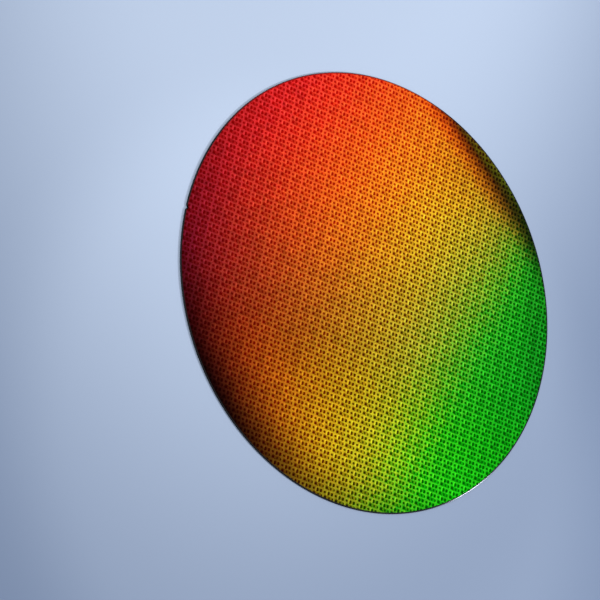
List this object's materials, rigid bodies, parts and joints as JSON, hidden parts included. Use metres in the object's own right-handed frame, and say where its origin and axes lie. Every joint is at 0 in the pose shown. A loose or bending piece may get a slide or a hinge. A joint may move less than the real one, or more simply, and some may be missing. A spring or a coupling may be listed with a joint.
{
  "type": "silicon wafer",
  "caption": "Thin round silicon wafer with a bevelled rim, a small orientation notch, a face patterned with a grid of dies that splits light into colours, and a plain back.",
  "frame": {"origin": "centre of the back face", "axes": "+Z out of the patterned face, -Y through the notch, +X along the dies' short side"},
  "size_m": [0.3, 0.3, 0.0008],
  "materials": {
    "patterned_silicon": "polished silicon under a fine circuit pattern that splits light into red, orange, yellow and green",
    "bare_silicon": "bare dark grey silicon, ground and polished"
  },
  "bodies": {
    "root": {"wafer": "patterned_silicon"}
  },
  "joints": []
}
